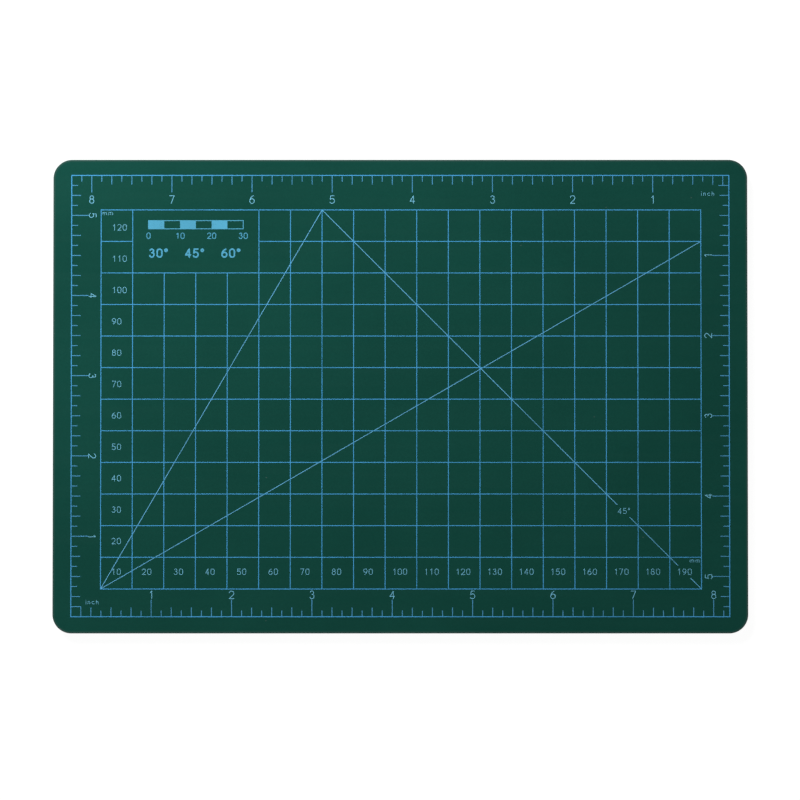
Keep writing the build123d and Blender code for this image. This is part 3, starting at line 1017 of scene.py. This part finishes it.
def build_net(bench: NodeBench) -> bpy.types.NodeSocket:
    """Centimetre lines within the grid's border, with a block at the top left free.

    Args:
        bench: Tree to build in.

    Returns:
        The lines' geometry.
    """
    columns, rows, first, wide, tall = bench.numbers(
        "Columns", "Rows", "Block Column", "Block Columns", "Block Rows", kind=SocketKind.COUNT)
    cell, line, film = bench.numbers("Cell", "Line", "Film")
    corner = bench.given("Corner", SocketKind.VECTOR)
    number = bench.sum("ADD", bench.add("GeometryNodeInputIndex").outputs[0], 1.0)
    after = bench.sum("ADD", first, wide)

    in_block = bench.sum("MULTIPLY", bench.sum("GREATER_THAN", number, first),
                         bench.sum("LESS_THAN", number, after))
    height = bench.sum("MULTIPLY", cell, bench.sum(
        "SUBTRACT", rows, bench.sum("MULTIPLY", in_block, tall)))
    spot = bench.combine(bench.sum("MULTIPLY", number, cell), bench.sum("MULTIPLY", height, 0.5))
    low_film = bench.sum("MULTIPLY", film, UPRIGHT_FILM)
    uprights = rule(bench, bench.sum("SUBTRACT", columns, 1.0), spot,
                    bench.combine(line, height, low_film))

    mid_film = bench.sum("MULTIPLY", film, LEVEL_FILM)
    is_cut = bench.sum("GREATER_THAN", number, bench.sum("SUBTRACT", rows, tall))
    start = bench.sum("MULTIPLY", is_cut, after)
    reach = bench.sum("MULTIPLY", cell, bench.sum("SUBTRACT", columns, start))
    across = bench.sum("MULTIPLY_ADD", reach, 0.5, bench.sum("MULTIPLY", start, cell))
    spot = bench.combine(across, bench.sum("MULTIPLY", number, cell))
    levels = rule(bench, bench.sum("SUBTRACT", rows, 1.0), spot,
                  bench.combine(line, reach, mid_film), pi / 2)

    reach = bench.sum("MULTIPLY", first, cell)
    up = bench.sum("ADD", number, bench.sum("SUBTRACT", rows, tall))
    spot = bench.combine(bench.sum("MULTIPLY", reach, 0.5), bench.sum("MULTIPLY", up, cell))
    stubs = rule(bench, bench.sum("SUBTRACT", tall, 1.0), spot,
                 bench.combine(line, reach, mid_film), pi / 2)
    return bench.add("GeometryNodeTransform", {
        0: bench.join(uprights, levels, stubs), "Translation": corner}).outputs[0]


class Side(Enum):
    """Sides of the frame: the turn of the ruler there, and the way it counts."""

    BOTTOM = ("bottom", 0.0, 1)
    TOP = ("top", 180.0, 1)
    LEFT = ("left", -90.0, -1)
    RIGHT = ("right", 90.0, -1)


@dataclass
class InchRulers:
    """The frame line and the four rulers that are ticked off from it."""

    pitch: float = 25.4 * MM / 8
    divisions: int = 8
    frame_line: float = 0.28 * MM
    tick_line: float = 0.25 * MM
    short: float = 1.95 * MM
    medium: float = 2.9 * MM
    long: float = 5.4 * MM

    def ticks(self, side: Side, tree: bpy.types.GeometryNodeTree, shelf: FinishShelf) -> None:
        """Grow the ticks of one ruler.

        The first ticks of two rulers that start at one corner meet and close a square.

        Args:
            side: Side of the frame.
            tree: Tree that makes a row of ticks.
            shelf: The finishes.
        """
        name, turn, sense = side.value
        node = f"{name}_ruler_ticks"
        low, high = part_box(node)
        back = self.pitch - self.tick_line / 2
        zero = {
            Side.BOTTOM: (low.x - back, low.y),
            Side.TOP: (high.x + back, high.y),
            Side.LEFT: (low.x, low.y - back),
            Side.RIGHT: (high.x, high.y + back),
        }[side]
        is_level = side in (Side.BOTTOM, Side.TOP)
        span = high.x - low.x if is_level else high.y - low.y
        buried = self.frame_line / 2
        meeting = self.pitch - buried
        piece = grow(f"{node}_ink", tree, {
            "Count": round((span - self.tick_line) / self.pitch) + 1,
            "Divisions": self.divisions,
            "Pitch": self.pitch,
            "Sense": float(sense),
            "Short": self.short - buried,
            "Medium": self.medium - buried,
            "Long": self.long - buried,
            "First": meeting + self.tick_line / 2 * (-1.0 if is_level else 1.0),
            "Line": self.tick_line,
            "Film": high.z - low.z,
            "Foot": (*zero, low.z),
            "Turn": radians(turn),
            "Finish": shelf.material("tick_ink"),
        })
        set_piece(piece, node, "tick_ink", shelf)

    def build(self, shelf: FinishShelf) -> None:
        """Make the rulers.

        Args:
            shelf: The finishes.
        """
        tree = make_grower("ruler_ticks", build_ticks)
        dress_node("inch_frame_line", "line_ink", shelf)
        for side in Side:
            self.ticks(side, tree, shelf)
            dress_node(f"{side.value[0]}_ruler_numerals", "figure_ink", shelf)
        dress_node("inch_unit_marks", "figure_ink", shelf)


@dataclass
class CentimetreGrid:
    """The grid's border, its net of lines and its numerals."""

    cell: float = 10.0 * MM
    border_line: float = 0.25 * MM
    net_line: float = 0.24 * MM
    block_column: int = 1
    block_columns: int = 4
    block_rows: int = 2

    def build(self, shelf: FinishShelf) -> None:
        """Make the grid.

        Args:
            shelf: The finishes.
        """
        dress_node("mm_grid_border", "line_ink", shelf)
        low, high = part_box("mm_grid_border")
        half = self.border_line / 2
        piece = grow("mm_grid_net", make_grower("centimetre_net", build_net), {
            "Columns": round((high.x - low.x) / self.cell),
            "Rows": round((high.y - low.y) / self.cell),
            "Block Column": self.block_column,
            "Block Columns": self.block_columns,
            "Block Rows": self.block_rows,
            "Cell": self.cell,
            "Line": self.net_line,
            "Film": high.z - low.z,
            "Corner": (low.x + half, low.y + half, low.z),
            "Finish": shelf.material("line_ink"),
        })
        set_piece(piece, "mm_grid_lines", "line_ink", shelf)
        for node in ("mm_column_numerals", "mm_row_numerals", "mm_unit_marks"):
            dress_node(node, "figure_ink", shelf)


@dataclass
class GuideLines:
    """The three slanted guide lines and the angle figure on one of them."""

    angles: Sequence[int] = (30, 45, 60)

    def build(self, shelf: FinishShelf) -> None:
        """Dress the guides.

        Args:
            shelf: The finishes.
        """
        for angle in self.angles:
            dress_node(f"guide_line_{angle}", "guide_ink", shelf)
        dress_node("guide_angle_mark", "figure_ink", shelf)


@dataclass
class Legend:
    """The scale bar and its numerals, in the block that the grid leaves free."""

    def build(self, shelf: FinishShelf) -> None:
        """Dress the legend."""
        dress_node("legend_scale_bar", "block_ink", shelf)
        dress_node("legend_numerals", "block_ink", shelf)


# ---- Studio ------------------------------------------------------------------------------
@dataclass(frozen=True)
class Lamp:
    """A soft square lamp, aimed at the middle of the mat and kept out of its gloss."""

    name: str
    place: Point
    size: float
    power: float

    def light(self) -> None:
        """Hang the lamp."""
        data = bpy.data.lights.new(self.name, "AREA")
        data.shape = "SQUARE"
        data.size = self.size
        data.energy = self.power
        lamp = bpy.data.objects.new(self.name, data)
        lamp.location = self.place
        lamp.rotation_euler = Vector(self.place).to_track_quat("Z", "Y").to_euler()
        lamp.visible_camera = False
        lamp.visible_glossy = False
        bpy.context.scene.collection.objects.link(lamp)


@dataclass
class Studio:
    """White floor, soft lamps and the camera above the mat."""

    floor_half: float = 4.0
    floor_drop: float = 0.05 * MM
    lens: float = 100.0
    sensor: float = 36.0
    view_width: float = 0.2532
    tilt: float = 0.9
    aim: tuple[float, float] = (-0.0001, -0.0012)
    room: float = 0.04
    ceiling: float = 0.2
    lamps: Sequence[Lamp] = (
        Lamp("key_softbox", (-0.345, 0.535, 0.355), 0.35, 11.4),
        Lamp("fill_softbox", (1.3, -1.75, 0.2), 0.35, 13.0),
    )

    def build(self, shelf: FinishShelf) -> None:
        """Set up the studio.

        Args:
            shelf: The finishes.
        """
        self.lay_floor(shelf)
        self.light_room()
        for lamp in self.lamps:
            lamp.light()
        self.place_camera()

    def lay_floor(self, shelf: FinishShelf) -> None:
        """Lay the floor just under the mat.

        Args:
            shelf: The finishes.
        """
        mesh = bpy.data.meshes.new("studio_floor")
        reach = self.floor_half
        corners = [(-reach, -reach), (reach, -reach), (reach, reach), (-reach, reach)]
        mesh.from_pydata([(x, y, -self.floor_drop) for x, y in corners], [], [(0, 1, 2, 3)])
        mesh.materials.append(shelf.material("studio_paper"))
        floor = bpy.data.objects.new("studio_floor", mesh)
        bpy.context.scene.collection.objects.link(floor)

    def light_room(self) -> None:
        """Make the room white where it is seen, dim to the mat, with a dark ceiling in gloss."""
        world = bpy.data.worlds.new("studio_room")
        world.use_nodes = True
        world.node_tree.nodes.clear()
        bench = NodeBench(world.node_tree)
        rise = bench.split(bench.add("ShaderNodeTexCoord").outputs["Generated"])[2]
        wall = bench.ramp(rise, self.ceiling, 0.0)
        straight = bench.add("ShaderNodeLightPath").outputs["Is Camera Ray"]
        seen = bench.sum("MAXIMUM", straight, bench.sum("MULTIPLY", rays_that_see(bench), wall))
        strength = bench.sum("MULTIPLY_ADD", seen, 1.0 - self.room, self.room)
        glow = bench.add("ShaderNodeBackground", {"Strength": strength,
                                                  "Color": (1.0, 1.0, 1.0, 1.0)})
        bench.add("ShaderNodeOutputWorld", {"Surface": glow.outputs[0]})
        bpy.context.scene.world = world

    def place_camera(self) -> None:
        """Hang the camera straight above the mat, tipped a little up the print."""
        data = bpy.data.cameras.new("overhead_camera")
        data.lens = self.lens
        data.sensor_width = self.sensor
        camera = bpy.data.objects.new("overhead_camera", data)
        distance = self.view_width * self.lens / self.sensor
        tilt = radians(self.tilt)
        camera.location = (self.aim[0], self.aim[1] - distance * sin(tilt),
                           CAD_BOX[1][2] + distance * cos(tilt))
        camera.rotation_euler = (tilt, 0.0, 0.0)
        bpy.context.scene.collection.objects.link(camera)
        bpy.context.scene.camera = camera


def main() -> None:
    """Build the mat and the studio around the CAD frame."""
    logging.basicConfig(level=logging.INFO, format="%(name)s: %(message)s")
    bpy.context.scene.view_settings.view_transform = "Standard"
    shelf = FinishShelf()
    for assembly in (Studio(), Laminate(), InchRulers(), CentimetreGrid(), GuideLines(), Legend()):
        log.info("building %s", type(assembly).__name__)
        assembly.build(shelf)


if __name__ == "__main__":
    main()
